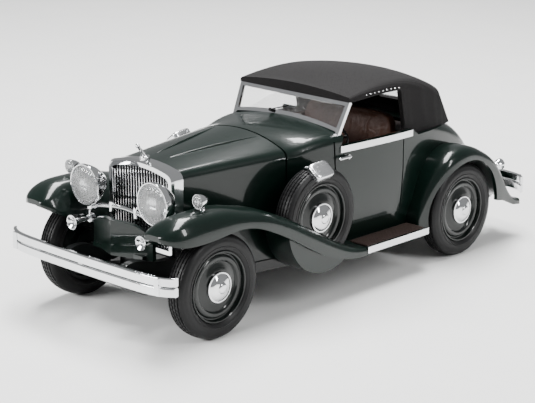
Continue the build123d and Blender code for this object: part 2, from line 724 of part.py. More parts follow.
def front_bumper():
    return bumper_pair(-overall_length / 2, front_bumper_z, overall_width / 2, 1)


def rear_bumper():
    """The rear bars with the two irons that carry them."""
    made = bumper_pair(overall_length / 2, rear_bumper_z, rear_bumper_half, -1)
    for side in (1, -1):
        low, high = sorted((side * 5.6, side * 6.8))
        made += block((low, with_rear(45.5), floor_z), (high, overall_length / 2 - 0.6, floor_z + 0.9))
        made += block((low, overall_length / 2 - 1.5, floor_z), (high, overall_length / 2 - 0.7, 11.0))
        made += block((low, with_rear(42.0), floor_z), (high, with_rear(46.0), floor_z + 0.9))
    return made - body_solid()


# ------------------------------------------------------------------ lamps and horns
def bullet(radius, length):
    """A lamp body pointing along +X with its lens seat at x = 0."""
    back = Spline((0, radius), (-0.18 * length, 0.97 * radius), (-0.6 * length, 0.68 * radius),
                  (-length, 0.08 * radius), tangents=[(-1, 0.0), (-0.3, -1)])
    close = Polyline((-length, 0.08 * radius), (-length, 0), (-0.12 * radius, 0),
                     (-0.12 * radius, 0.9 * radius), (0, 0.9 * radius), (0, radius))
    return spun([back, close])


def lens(radius, bulge):
    """A domed lens that fills the seat of a bullet of the same radius."""
    seat = -0.12 * radius
    dome = Spline((0, 0.9 * radius), (bulge * 0.75, 0.5 * radius), (bulge, 0), tangents=[(1, -0.8), (0, -1)])
    return spun([dome, Polyline((bulge, 0), (seat, 0), (seat, 0.9 * radius), (0, 0.9 * radius))])


def headlamp():
    x, y, z = lamp_place
    shell = Pos(*lamp_place) * facing_front(bullet(lamp_radius, lamp_length))
    post = rod_z(0.55, lamp_bar_z(x) + lamp_pad + 0.01, z - lamp_radius + 1.2, x, lamp_bar_y)
    hollow = Pos(*lamp_place) * facing_front(spun_outline([(-0.5, 0), (-0.5, 3.3), (0, 3.3), (0, 0)]))
    return shell + (post - hollow)


def headlamp_lenses():
    return both_sides(Pos(*lamp_place) * facing_front(lens(lamp_radius, 0.7)))


def lamp_bar_z(x):
    """The lamp bar rises from the wings to the middle as a parabola."""
    return lamp_place[2] - lamp_rise - 2.4 * (x / lamp_bar_half) ** 2


def lamp_bar():
    xs = [lamp_bar_half * k / 3 for k in range(-3, 4)]
    made = bar([(x, lamp_bar_y, lamp_bar_z(x)) for x in xs], lamp_bar_radius)
    for x in (-lamp_place[0], lamp_place[0]):
        made += rod_z(0.8, lamp_bar_z(x) - 0.3, lamp_bar_z(x) + lamp_pad, x, lamp_bar_y)
    for x in (-3.2, 3.2):
        made += rod_z(0.5, lamp_bar_z(x) - 0.9, lamp_bar_z(x) + 0.8, x, lamp_bar_y)
    lamp = Pos(*lamp_place) * facing_front(bullet(lamp_radius + 0.03, lamp_length + 0.03))
    wings = wing_loft(front_wing_stations())
    return made - wings - right_of(wings) - lamp - right_of(lamp)


def horns():
    """Trumpet horns hung under the lamp bar."""
    bell = Spline((0, 1.35), (-0.8, 0.8), (-4.2, 0.38), tangents=[(-0.3, -1), (-1, -0.05)])
    trumpet = spun([bell, Polyline((-4.2, 0.38), (-4.2, 0), (-0.5, 0), (-0.3, 0.6), (0, 1.2), (0, 1.35))])
    trumpet += Pos(-4.6, 0, 0) * Rot(0, 90, 0) * Cylinder(0.8, 0.9)
    x, z = horn_place[0], horn_place[2]
    horn = Pos(*horn_place) * facing_front(trumpet)
    horn += rod_z(0.3, z + 0.1, lamp_bar_z(x) - lamp_bar_radius - 0.12, x, lamp_bar_y)
    return both_sides(horn)


def wing_lamps():
    """Small bullets on feet that stand on the wings' crowns."""
    x, y, z = wing_lamp_place
    shell = Pos(x, y, z) * facing_front(bullet(wing_lamp_radius, 2.6))
    foot = rod_z(0.5, z - 2.2, z - 0.9, x, y + 1.1)
    return both_sides(shell + (foot - wing_loft(front_wing_stations())))


def wing_lamp_lenses():
    return both_sides(Pos(*wing_lamp_place) * facing_front(lens(wing_lamp_radius, 0.3)))


def tail_lamps():
    """Lamps that face rearwards on stalks from the back of the rear wings."""
    x, y, z = tail_lamp_place
    lamp = Pos(x, y, z) * Rot(0, 0, 90) * bullet(tail_lamp_radius, 2.2)
    stalk = Spline((x, y - 0.9, z - 0.5), (x, y - 2.0, z - 1.9), (x + 0.4, y - 5.0, z - 2.4))
    stalk_rod = sweep(Plane(origin=stalk @ 0, z_dir=stalk % 0) * Circle(0.35), path=stalk)
    return both_sides(lamp + stalk_rod - wing_loft(rear_wing_stations()) - body_solid())


def tail_lamp_lenses():
    x, y, z = tail_lamp_place
    return both_sides(Pos(x, y, z) * Rot(0, 0, 90) * lens(tail_lamp_radius, 0.3))


# ------------------------------------------------------------------ windscreen and cabin
def screen_plane():
    """The raked plane of the windscreen. Its origin is on the centre line at the foot's height."""
    rise = (0, screen_head[1] - screen_foot[1], screen_head[2] - screen_foot[2])
    return Plane(origin=(0, screen_foot[1], screen_foot[2]), x_dir=(1, 0, 0),
                 z_dir=(0, -rise[2], rise[1]))


def screen_height():
    return math.dist(screen_foot[1:], screen_head[1:])


def screen_outline(inset):
    """The screen's outline in its own plane, following the scuttle along the bottom."""
    top, foot_x, head_x = screen_height() - inset, screen_foot[0] - inset, screen_head[0] - inset
    sill_x, sill_v, foot_v = 12.9 - inset, 1.75 + inset, 0.6 + 2.2 * inset
    sill = ThreePointArc((-sill_x, sill_v), (0, sill_v + 1.0), (sill_x, sill_v))
    sides = Polyline((sill_x, sill_v), (foot_x, foot_v), (head_x, top), (-head_x, top), (-foot_x, foot_v),
                     (-sill_x, sill_v))
    return make_face([sill, sides])


def screen_prism(inset, thickness):
    plane = screen_plane()
    shift = Plane(origin=plane.origin - plane.z_dir * thickness / 2, x_dir=plane.x_dir, z_dir=plane.z_dir)
    return extrude(shift * screen_outline(inset), thickness)


def windscreen_frame():
    frame = screen_prism(0, screen_depth) - screen_prism(screen_rail, 2 * screen_depth)
    return frame - body_solid() - soft_top()


def windscreen_glass():
    return screen_prism(screen_rail, glass_thickness)


def wiper():
    """A wiper on a spindle at the foot of the glass."""
    plane = screen_plane()
    x, v = -4.0, 3.2
    out = Plane(origin=plane.from_local_coords((x, v, screen_depth / 2 + 0.36)), x_dir=plane.x_dir,
                z_dir=plane.z_dir)
    spindle = extrude(out * Circle(0.35), 0.35, both=True)
    arm = extrude(out * Pos(1.9, 0.75) * Rot(0, 0, 18) * Rectangle(4.4, 0.2), 0.12, both=True)
    return spindle + arm


def interior_mirror():
    """A mirror on a short stalk that stands on the dashboard."""
    stalk = rod_z(0.22, dash_top, 31.6, -1.5, 1.2)
    head = Box(3.0, 0.45, 1.1)
    head = fillet(head.edges().filter_by(Axis.Y), 0.25)
    return (stalk - dashboard()) + Pos(-1.5, 1.2, 31.9) * Rot(20, 0, 0) * head


def dashboard():
    """A board under the scuttle with round dials."""
    top_line = Spline((1.6, dash_top), (0.9, dash_top + 0.3), (scuttle_rear_y, dash_top))
    edges = [top_line, Polyline((scuttle_rear_y, dash_top), (scuttle_rear_y, dash_foot), (0.6, dash_foot),
                                (1.6, dash_top))]
    board = side_cutter(edges, 0.05 - tub_half, tub_half - 0.05)
    for x, r in ((6.5, 1.0), (3.4, 0.7), (0.8, 0.7), (-2.4, 0.5), (-7.0, 0.9)):
        board += Pos(x, 1.1, 26.5) * Rot(90, 0, 0) * Cylinder(r, 0.8)
    return board - body_tub()


def steering_column():
    x, y, z = steering_place
    lean = math.radians(90 - wheel_tilt)
    length = 12.5
    end = (x, y - length * math.cos(lean), z - length * math.sin(lean))
    path = Line(steering_place, end)
    column = sweep(Plane(origin=path @ 0, z_dir=path % 0) * Circle(0.35), path=path)
    return column - dashboard()


def steering_wheel():
    """A rim, four spokes and a hub that is bored for the column."""
    rim = Torus(3.1, 0.28)
    spokes = [Rot(0, 0, 45 + 90 * k) * Pos(1.65, 0, 0) * Box(2.8, 0.3, 0.22) for k in range(4)]
    made = rim + Cylinder(0.7, 0.7)
    for spoke in spokes:
        made += spoke
    placed = Pos(*steering_place) * Rot(wheel_tilt, 0, 0) * made
    return placed - steering_column()


def interior_tub():
    """The cabin floor with its toe board, side panels and rear shelf, moulded in one."""
    outer = [(scuttle_rear_y - 6, floor_z), (scuttle_rear_y - 6, 14), (scuttle_rear_y - 3, 9.4),
             (aft(22.0), 9.4), (aft(24.0), 25.0), (aft(28.5), 25.6),
             (aft(28.5), 24.8), (aft(24.8), 24.2), (aft(22.8), floor_z)]
    floor = side_cutter(outer, -tub_half, tub_half)
    for side in (1, -1):
        low, high = sorted((side * tub_half, side * (tub_half + 0.8)))
        floor += block((low, -1.5, floor_z + 0.6), (high, aft(22.2), belt_z - 0.7))
    return floor - body_tub()


def seat_cushion():
    cushion = block((-11.4, aft(3.6), 9.45), (11.4, aft(13.4), 16.6))
    return fillet(cushion.edges().group_by(Axis.Z)[-1], 1.0)


def seat_back():
    lean = Pos(0, aft(13.4) - 0.1, 13.2) * Rot(-seat_lean, 0, 0)
    back = lean * block((-11.4, 0.3, 0), (11.4, 3.6, seat_top))
    low_cut = block((-20, 0, 0), (20, aft(13.4) + 0.05, 16.7))
    return fillet(back.edges().filter_by(Axis.X), 1.0) - low_cut


# ------------------------------------------------------------------ trim on the sides
def belt_strips():
    """Bright strips along the tops of the doors."""
    strip = arch_loft(body_stations(), -0.32, floor_z) - arch_loft(body_stations(), 0, 0)
    strip &= block((10, scuttle_rear_y, belt_z - belt_strip_height), (20, door_rear_y + 2.4, belt_z))
    return both_sides(strip)


def door_handles():
    """Lever handles near the front edges of the doors, whose hinges are at the back."""
    z = 25.3
    x = 14.75
    lever = Pos(x + 0.55, -1.2, z) * Rot(90, 0, 0) * Cylinder(0.3, 3.0)
    lever += Pos(x + 0.55, -2.7, z) * Sphere(0.32)
    pivot = Pos(x, -0.1, z) * Rot(0, 90, 0) * Cylinder(0.42, 1.2)
    return both_sides(lever + (pivot - body_solid()))


# ------------------------------------------------------------------ spare wheels
def on_spare(shape):
    return Pos(*spare_place) * shape


def spare_tyres():
    return both_sides(on_spare(tyre(spare_radius)))


def spare_discs():
    return both_sides(on_spare(wheel_disc()))


def spare_hub_caps():
    return both_sides(on_spare(hub_cap()))


def spare_mirrors():
    """Mirrors strapped to the tops of the spare tyres."""
    x, y, z = spare_place
    top = z + spare_radius
    seat = Plane(origin=(x + 1.9, y - 0.7, top - 0.3), x_dir=(0, 1, 0), z_dir=(0.62, -0.1, 0.78))
    head = extrude(seat * RectangleRounded(4.3, 3.3, 0.8), 0.6, both=True)
    band = rod_x(spare_radius + 0.35, 0.9, spare_place) - rod_x(spare_radius + 0.02, 3, spare_place)
    band &= block((x - 3, y - 2.2, z + 6), (x + 3, y + 2.2, top + 3))
    return both_sides(band + head - on_spare(tyre(spare_radius)))


# ------------------------------------------------------------------ the table of nodes
def corner_nodes():
    """The tyre, disc and cap of each road wheel, and the two axles."""
    nodes = {}
    for place, y in (("front", front_axle_y), ("rear", rear_axle_y)):
        nodes[f"{place}_axle"] = axle(y)
        for piece, shape in (("tyre", tyre()), ("wheel_disc", bored_disc()), ("hub_cap", hub_cap())):
            left = on_wheel(shape, y)
            nodes[f"{piece}_{place}_left"] = left
            nodes[f"{piece}_{place}_right"] = right_of(left)
    return nodes


def pair(name, shape):
    return {f"{name}_left": shape, f"{name}_right": right_of(shape)}


def all_nodes():
    nodes = {}
    for make in (chassis_plate, front_apron, chassis_screws, exhaust_pipe, body_tub, bonnet, radiator_shell,
                 radiator_grille, radiator_cap, running_board_mats, step_strips, front_bumper,
                 rear_bumper, headlamp_lenses, lamp_bar, horns, wing_lamps, wing_lamp_lenses, windscreen_frame,
                 windscreen_glass, wiper, interior_mirror, dashboard, steering_column,
                 steering_wheel, interior_tub, seat_cushion, seat_back, soft_top, rear_window,
                 belt_strips, door_handles, tail_lamps, tail_lamp_lenses, spare_tyres, spare_discs,
                 spare_hub_caps, spare_mirrors):
        nodes[make.__name__] = make()
    for make in (front_wing, rear_wing, running_board, headlamp):
        nodes.update(pair(make.__name__, make()))
    nodes.update(corner_nodes())
    return nodes


os.makedirs("parts", exist_ok=True)
for name, shape in all_nodes().items():
    export_step(shape, f"parts/{name}.step")
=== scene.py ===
# %% [markdown]
# # A small diecast drophead, from frame to finished model
#
# The design model already holds every part at its true place and size. In this lesson we give the parts
# their real surfaces: gloss enamel on the castings, bright plating, moulded canvas grain on the soft top,
# vinyl tyres with tread. Where the plain part is too coarse for a close look, we model it again with bmesh
# and let the new piece stand in for the plain one.

# %% Load the frame and note the design's box
import json
import math
import bmesh
import bpy
from mathutils import Matrix, Vector


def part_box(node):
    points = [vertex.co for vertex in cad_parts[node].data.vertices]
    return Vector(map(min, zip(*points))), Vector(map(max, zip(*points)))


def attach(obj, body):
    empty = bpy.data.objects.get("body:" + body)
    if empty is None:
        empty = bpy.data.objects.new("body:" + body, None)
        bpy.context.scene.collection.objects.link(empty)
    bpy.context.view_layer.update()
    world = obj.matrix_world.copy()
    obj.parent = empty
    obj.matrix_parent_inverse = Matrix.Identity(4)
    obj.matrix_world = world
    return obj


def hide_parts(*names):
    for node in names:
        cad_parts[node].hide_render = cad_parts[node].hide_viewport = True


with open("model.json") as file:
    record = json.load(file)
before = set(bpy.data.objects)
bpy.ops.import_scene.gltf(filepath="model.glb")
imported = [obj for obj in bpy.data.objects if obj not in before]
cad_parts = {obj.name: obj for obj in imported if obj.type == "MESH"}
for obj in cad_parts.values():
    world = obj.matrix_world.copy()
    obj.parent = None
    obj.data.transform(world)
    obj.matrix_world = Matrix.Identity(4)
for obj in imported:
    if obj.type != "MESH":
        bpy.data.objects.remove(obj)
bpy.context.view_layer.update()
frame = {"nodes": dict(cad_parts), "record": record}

MM = 0.001

# %% [markdown]
# ## Camera
# A model this small is pictured from close by with a long lens. The camera stands half way between the nose
# and the car's left side, a little above the roof line, and looks slightly down. Writing the direction as an
# azimuth and an elevation keeps it easy to reason about.

# %% Place the camera
def add_camera(place, azimuth, elevation, roll, lens):
    """Angles are in degrees, the place in metres and the lens in mm."""
    data = bpy.data.cameras.new("studio_camera")
    data.lens = lens
    data.sensor_width = 36
    data.clip_start = 0.01
    camera = bpy.data.objects.new("studio_camera", data)
    bpy.context.collection.objects.link(camera)
    a, e = math.radians(azimuth), math.radians(elevation)
    back = Vector((math.sin(a) * math.cos(e), -math.cos(a) * math.cos(e), math.sin(e)))
    right = Vector((0, 0, 1)).cross(back).normalized()
    right = Matrix.Rotation(math.radians(roll), 3, back) @ right
    up = back.cross(right)
    camera.matrix_world = Matrix.LocRotScale(place, Matrix((right, up, back)).transposed(), None)
    bpy.context.scene.camera = camera
    return camera


camera = add_camera(Vector((0.2148, -0.2303, 0.1026)), 43.8, 15.8, 0.26, 112.5)
print("camera at", tuple(round(v, 3) for v in camera.location))

# %% [markdown]
# ## Floor and light
# Gloss paint and plating only look right if they have something to reflect. One large soft box overhead draws
# the long highlights along the bonnet and wings, one before the nose lights the grille, one at the car's left
# draws the edges of the wings, and the pale room fills the rest.

# %% Build the studio
FLOOR_HALF = 2.0


def add_floor():
    bm = bmesh.new()
    bmesh.ops.create_grid(bm, x_segments=1, y_segments=1, size=FLOOR_HALF)
    mesh = bpy.data.meshes.new("studio_floor")
    bm.to_mesh(mesh)
    bm.free()
    floor = bpy.data.objects.new("studio_floor", mesh)
    bpy.context.collection.objects.link(floor)
    return floor


def add_softbox(name, place, target, size, watts):
    data = bpy.data.lights.new(name, "AREA")
    data.shape = "RECTANGLE"
    data.size, data.size_y = size
    data.energy = watts
    light = bpy.data.objects.new(name, data)
    light.location = place
    light.rotation_euler = (Vector(target) - Vector(place)).to_track_quat("-Z", "Y").to_euler()
    bpy.context.collection.objects.link(light)


def pale_world(colour, strength):
    world = bpy.data.worlds.new("pale_room")
    world.use_nodes = True
    background = world.node_tree.nodes["Background"]
    background.inputs["Color"].default_value = (*colour, 1)
    background.inputs["Strength"].default_value = strength
    bpy.context.scene.world = world


floor = add_floor()
pale_world((0.93, 0.94, 0.95), 0.36)
add_softbox("overhead_box", (-0.06, 0.06, 0.40), (0, 0, 0), (0.12, 0.40), 5.2)
add_softbox("front_box", (-0.16, -0.40, 0.20), (0, -0.03, 0.02), (0.20, 0.10), 2.4)
add_softbox("side_box", (0.40, 0.06, 0.30), (0, 0, 0.02), (0.06, 0.34), 1.6)

# %% [markdown]
# ## Materials
# Every finish is a small node tree. Effects that several finishes share, such as the fine speckle of dust and
# the slight orange peel of sprayed enamel, are shader node groups with their own inputs, so each finish can
# set them for itself.

# %% Helpers for node trees
def group_tree(name, inputs, outputs):
    tree = bpy.data.node_groups.new(name, "ShaderNodeTree")
    for label, kind, value in inputs:
        tree.interface.new_socket(label, in_out="INPUT", socket_type=kind).default_value = value
    for label, kind in outputs:
        tree.interface.new_socket(label, in_out="OUTPUT", socket_type=kind)
    return tree, tree.nodes.new("NodeGroupInput"), tree.nodes.new("NodeGroupOutput")


def add_node(tree, kind, **settings):
    """A new node whose inputs, or else its own settings, have these values."""
    node = tree.nodes.new(kind)
    for key, value in settings.items():
        if key in node.inputs:
            node.inputs[key].default_value = value
        else:
            setattr(node, key, value)
    return node


def new_finish(name, colour, roughness, metallic=0.0, **sockets):
    """A material whose Principled shader has these constants. Returns it with its tree and shader."""
    material = bpy.data.materials.new(name)
    material.use_nodes = True
    tree = material.node_tree
    shader = tree.nodes["Principled BSDF"]
    shader.inputs["Base Color"].default_value = (*colour, 1)
    shader.inputs["Roughness"].default_value = roughness
    shader.inputs["Metallic"].default_value = metallic
    for label, value in sockets.items():
        shader.inputs[label.replace("_", " ")].default_value = value
    return material, tree, shader


# %% The two groups: speckle and orange peel
def make_speckle():
    """Broad clouds for an uneven tone, and a mask of fine specks for an uneven gloss."""
    tree, given, out = group_tree(
        "surface_speckle",
        [("Scale", "NodeSocketFloat", 900.0), ("Amount", "NodeSocketFloat", 0.5)],
        [("Mask", "NodeSocketFloat"), ("Cloud", "NodeSocketFloat")])
    where = add_node(tree, "ShaderNodeTexCoord")
    fine = add_node(tree, "ShaderNodeTexNoise", Detail=3.0, Roughness=0.6)
    broad = add_node(tree, "ShaderNodeTexNoise", Scale=70.0, Detail=2.0)
    tree.links.new(where.outputs["Object"], fine.inputs["Vector"])
    tree.links.new(where.outputs["Object"], broad.inputs["Vector"])
    tree.links.new(given.outputs["Scale"], fine.inputs["Scale"])
    sharpen = add_node(tree, "ShaderNodeMapRange")
    sharpen.inputs["From Min"].default_value = 0.52
    sharpen.inputs["From Max"].default_value = 0.78
    tree.links.new(fine.outputs["Fac"], sharpen.inputs["Value"])
    weigh = add_node(tree, "ShaderNodeMath", operation="MULTIPLY")
    tree.links.new(sharpen.outputs["Result"], weigh.inputs[0])
    tree.links.new(given.outputs["Amount"], weigh.inputs[1])
    tree.links.new(weigh.outputs["Value"], out.inputs["Mask"])
    tree.links.new(broad.outputs["Fac"], out.inputs["Cloud"])
    return tree


def make_peel():
    """The faint waviness of thick sprayed paint, as a height."""
    tree, given, out = group_tree("orange_peel", [("Scale", "NodeSocketFloat", 500.0)],
                                  [("Height", "NodeSocketFloat")])
    where = add_node(tree, "ShaderNodeTexCoord")
    noise = add_node(tree, "ShaderNodeTexNoise", Detail=1.0)
    tree.links.new(where.outputs["Object"], noise.inputs["Vector"])
    tree.links.new(given.outputs["Scale"], noise.inputs["Scale"])
    tree.links.new(noise.outputs["Fac"], out.inputs["Height"])
    return tree


speckle_group = make_speckle()
peel_group = make_peel()
print("node groups:", [g.name for g in bpy.data.node_groups])

# %% [markdown]
# A finish takes three things from the groups: a slightly uneven tone, a slightly uneven roughness, and a tiny
# bump. The bump's distance is in metres, and here it is a few hundredths of a millimetre at most.

# %% Join the groups to a finish
WAVE_TURN = 0.314             # a wave texture of this scale over a pitch has one band to each pitch


def place_group(tree, group, **values):
    node = tree.nodes.new("ShaderNodeGroup")
    node.node_tree = group
    for label, value in values.items():
        node.inputs[label].default_value = value
    return node


def vary_tone(tree, shader, dark, light, speckle_scale, amount):
    """Base colour runs from dark to light with the clouds. Returns the marks, for the roughness."""
    marks = place_group(tree, speckle_group, Scale=speckle_scale, Amount=amount)
    clouds = add_node(tree, "ShaderNodeMix", data_type="RGBA")
    clouds.inputs["A"].default_value = (*dark, 1)
    clouds.inputs["B"].default_value = (*light, 1)
    tree.links.new(marks.outputs["Cloud"], clouds.inputs["Factor"])
    tree.links.new(clouds.outputs["Result"], shader.inputs["Base Color"])
    return marks


def vary_roughness(tree, shader, marks, low, high):
    spread = add_node(tree, "ShaderNodeMapRange")
    spread.inputs["To Min"].default_value = low
    spread.inputs["To Max"].default_value = high
    tree.links.new(marks.outputs["Mask"], spread.inputs["Value"])
    tree.links.new(spread.outputs["Result"], shader.inputs["Roughness"])


def add_bump(tree, shader, height_socket, distance):
    bump = add_node(tree, "ShaderNodeBump", Strength=1.0, Distance=distance)
    tree.links.new(height_socket, bump.inputs["Height"])
    tree.links.new(bump.outputs["Normal"], shader.inputs["Normal"])


# %% [markdown]
# ### Enamel
# The castings are sprayed in a green so dark that it is nearly black where nothing reflects. A clear coat
# gives the hard highlight; the base underneath keeps a little roughness.

# %% Enamel for castings and wheels
def make_enamel(name, dark, light, roughness=0.28, peel=500.0):
    material, tree, shader = new_finish(name, dark, roughness, Specular_IOR_Level=0.12, Coat_Weight=0.7,
                                        Coat_Roughness=0.05, Coat_IOR=1.42)
    marks = vary_tone(tree, shader, dark, light, 1400.0, 0.25)
    vary_roughness(tree, shader, marks, roughness, roughness + 0.12)
    skin = place_group(tree, peel_group, Scale=peel)
    add_bump(tree, shader, skin.outputs["Height"], 0.000012)
    return material


green_enamel = make_enamel("green_enamel", (0.0011, 0.0048, 0.0034), (0.0022, 0.0078, 0.0056))
wheel_enamel = make_enamel("wheel_enamel", (0.002, 0.003, 0.0028), (0.004, 0.0065, 0.0055), 0.3, 700.0)
frame_enamel = make_enamel("frame_enamel", (0.0025, 0.003, 0.003), (0.005, 0.006, 0.006), 0.42, 600.0)
print("enamels made")

# %% [markdown]
# ### Bright plating
# Vacuum plating on a moulding is a perfect metal with soft flaws: slightly milky patches and pinholes.

# %% Bright plating and plain steel
def make_metal(name, dark, light, low, high, scale=1500.0):
    material, tree, shader = new_finish(name, light, low, 1.0)
    marks = vary_tone(tree, shader, dark, light, scale, 0.8)
    vary_roughness(tree, shader, marks, low, high)
    skin = place_group(tree, peel_group, Scale=420.0)
    add_bump(tree, shader, skin.outputs["Height"], 0.00001)
    return material


plating = make_metal("bright_plating", (0.66, 0.67, 0.68), (0.86, 0.87, 0.88), 0.05, 0.2)
satin_plating = make_metal("satin_plating", (0.72, 0.73, 0.74), (0.88, 0.89, 0.9), 0.22, 0.36)
steel = make_metal("drawn_steel", (0.36, 0.36, 0.37), (0.5, 0.5, 0.51), 0.22, 0.4, 2200.0)
print("metals made")

# %% [markdown]
# ### Vinyl, canvas grain, leather paint and clear parts
# The tyres are satin vinyl. The soft top is moulded with a canvas grain, so two crossed waves make the bump.
# The cabin is painted a warm brown with a leather grain from a cell texture.

# %% Soft-looking mouldings
def make_vinyl(name, dark, light, low, high):
    material, tree, shader = new_finish(name, dark, low, 0.0, Specular_IOR_Level=0.22)
    marks = vary_tone(tree, shader, dark, light, 1800.0, 0.8)
    vary_roughness(tree, shader, marks, low, high)
    skin = place_group(tree, peel_group, Scale=2600.0)
    add_bump(tree, shader, skin.outputs["Height"], 0.000008)
    return material


def make_canvas(name, dark, light, pitch):
    """Two crossed waves stand for the threads."""
    material, tree, shader = new_finish(name, dark, 0.82, 0.0, Specular_IOR_Level=0.12, Sheen_Weight=0.04,
                                        Sheen_Roughness=0.4)
    marks = vary_tone(tree, shader, dark, light, 1600.0, 0.7)
    vary_roughness(tree, shader, marks, 0.74, 0.9)
    where = add_node(tree, "ShaderNodeTexCoord")
    threads = []
    for direction in ("X", "Y"):
        wave = add_node(tree, "ShaderNodeTexWave", bands_direction=direction, Scale=WAVE_TURN / pitch,
                        Distortion=0.6, Detail=1.0)
        tree.links.new(where.outputs["Object"], wave.inputs["Vector"])
        threads.append(wave)
    weave = add_node(tree, "ShaderNodeMath", operation="MULTIPLY")
    tree.links.new(threads[0].outputs["Fac"], weave.inputs[0])
    tree.links.new(threads[1].outputs["Fac"], weave.inputs[1])
    add_bump(tree, shader, weave.outputs["Value"], 0.00004)
    return material


def make_leather(name, dark, light, cell):
    """Small cells for the grain, and broader creases that count for more."""
    crease_weight = 6.0
    material, tree, shader = new_finish(name, dark, 0.6, 0.0, Specular_IOR_Level=0.3)
    marks = vary_tone(tree, shader, dark, light, 1200.0, 0.6)
    vary_roughness(tree, shader, marks, 0.52, 0.7)
    where = add_node(tree, "ShaderNodeTexCoord")
    cells = add_node(tree, "ShaderNodeTexVoronoi", feature="DISTANCE_TO_EDGE", Scale=1 / cell)
    creases = add_node(tree, "ShaderNodeTexNoise", Scale=260.0, Detail=2.0, Distortion=1.6)
    weigh = add_node(tree, "ShaderNodeMath", operation="MULTIPLY_ADD")
    weigh.inputs[1].default_value = crease_weight
    tree.links.new(where.outputs["Object"], cells.inputs["Vector"])
    tree.links.new(where.outputs["Object"], creases.inputs["Vector"])
    tree.links.new(creases.outputs["Fac"], weigh.inputs[0])
    tree.links.new(cells.outputs["Distance"], weigh.inputs[2])
    add_bump(tree, shader, weigh.outputs["Value"], 0.00005)
    return material


tyre_vinyl = make_vinyl("tyre_vinyl", (0.0035, 0.0035, 0.0038), (0.0075, 0.0075, 0.008), 0.42, 0.6)
trim_black = make_vinyl("trim_black", (0.006, 0.006, 0.006), (0.012, 0.012, 0.012), 0.25, 0.4)
mat_vinyl = make_vinyl("mat_vinyl", (0.022, 0.014, 0.012), (0.04, 0.027, 0.023), 0.55, 0.75)
top_canvas = make_canvas("top_canvas", (0.0052, 0.0048, 0.005), (0.0105, 0.0095, 0.0098), 0.0004)
brown_leather = make_leather("brown_leather", (0.036, 0.014, 0.008), (0.07, 0.03, 0.019), 0.0006)
print("mouldings made")

# %% Clear and coloured mouldings
def make_clear(name, tint, roughness, alpha):
    material, tree, shader = new_finish(name, tint, roughness, 0.0, Transmission_Weight=1.0, IOR=1.46,
                                        Alpha=alpha)
    marks = place_group(tree, speckle_group, Scale=1800.0, Amount=0.5)
    vary_roughness(tree, shader, marks, roughness, roughness + 0.12)
    return material


def make_fluted(name, tint, roughness, transmission, pitch):
    """Pressed lamp glass: upright flutes inside, and a slight milkiness that holds the light."""
    material, tree, shader = new_finish(name, tint, roughness, 0.0, Transmission_Weight=transmission, IOR=1.46)
    marks = place_group(tree, speckle_group, Scale=1500.0, Amount=0.3)
    vary_roughness(tree, shader, marks, roughness, roughness + 0.1)
    where = add_node(tree, "ShaderNodeTexCoord")
    flutes = add_node(tree, "ShaderNodeTexWave", bands_direction="X", Scale=WAVE_TURN / pitch)
    tree.links.new(where.outputs["Object"], flutes.inputs["Vector"])
    add_bump(tree, shader, flutes.outputs["Fac"], 0.00006)
    return material


clear_screen = make_clear("clear_screen", (0.97, 0.985, 0.98), 0.02, 0.22)
lamp_glass = make_fluted("lamp_glass", (0.93, 0.94, 0.94), 0.05, 0.86, 0.0007)
red_glass = make_fluted("red_glass", (0.55, 0.012, 0.008), 0.1, 0.5, 0.0004)
studio_white = make_vinyl("studio_white", (0.80, 0.80, 0.79), (0.84, 0.84, 0.83), 0.55, 0.65)
floor.data.materials.append(studio_white)
print("materials:", len(bpy.data.materials))

# %% [markdown]
# ## Finishes on the design's own parts
# Each part names a slot in the record. One table says which finish goes on which slot.

# %% Give every part its finish
FINISH = {
    "paint": green_enamel, "chassis_black": frame_enamel, "screw_steel": steel, "axle_steel": steel,
    "bright": plating, "tyre": tyre_vinyl, "disc_black": wheel_enamel, "lens_clear": lamp_glass,
    "lens_red": red_glass, "clear_plastic": clear_screen, "trim_black": trim_black, "mat": mat_vinyl,
    "cabin_brown": brown_leather, "soft_top": top_canvas,
}
slot_of = {part["node"]: part["material_slot"] for part in frame["record"]["subparts"]}
for name, node in frame["nodes"].items():
    node.data.materials.clear()
    node.data.materials.append(FINISH[slot_of[name]])
print("finishes used:", sorted(set(slot_of.values())))

# %% [markdown]
# ## New pieces
# Anything round on this car, such as a tyre or a lamp, was turned or moulded from a turned master, so it is
# made the same way here: half a section drawn as a few points, spun once round its axis. One helper spins,
# another gives the mesh its name, its finish and the body that it moves with.

# %% Helpers for new pieces
body_of = {node: body for body, nodes in frame["record"]["behaviour"]["bodies"].items() for node in nodes}


def turned(profile, centre, axis, steps=96, closed=False):
    """Spins (along, radius) points, in mm, about an axis through centre."""
    bm = bmesh.new()
    axis = Vector(axis).normalized()
    out = axis.orthogonal().normalized()
    verts = [bm.verts.new(centre + axis * along * MM + out * radius * MM) for along, radius in profile]
    edges = [bm.edges.new(ends) for ends in zip(verts, verts[1:])]
    if closed:
        edges.append(bm.edges.new((verts[-1], verts[0])))
    bmesh.ops.spin(bm, geom=verts + edges, cent=centre, axis=axis, angle=math.tau, steps=steps, use_merge=True)
    bmesh.ops.remove_doubles(bm, verts=bm.verts, dist=0.001 * MM)
    return bm


def to_right_side(bm):
    """Adds the mirror image, for a piece that comes as a left and a right one."""
    geom = bm.verts[:] + bm.edges[:] + bm.faces[:]
    bmesh.ops.mirror(bm, geom=geom, matrix=Matrix.Identity(4), merge_dist=0.0, axis="X")


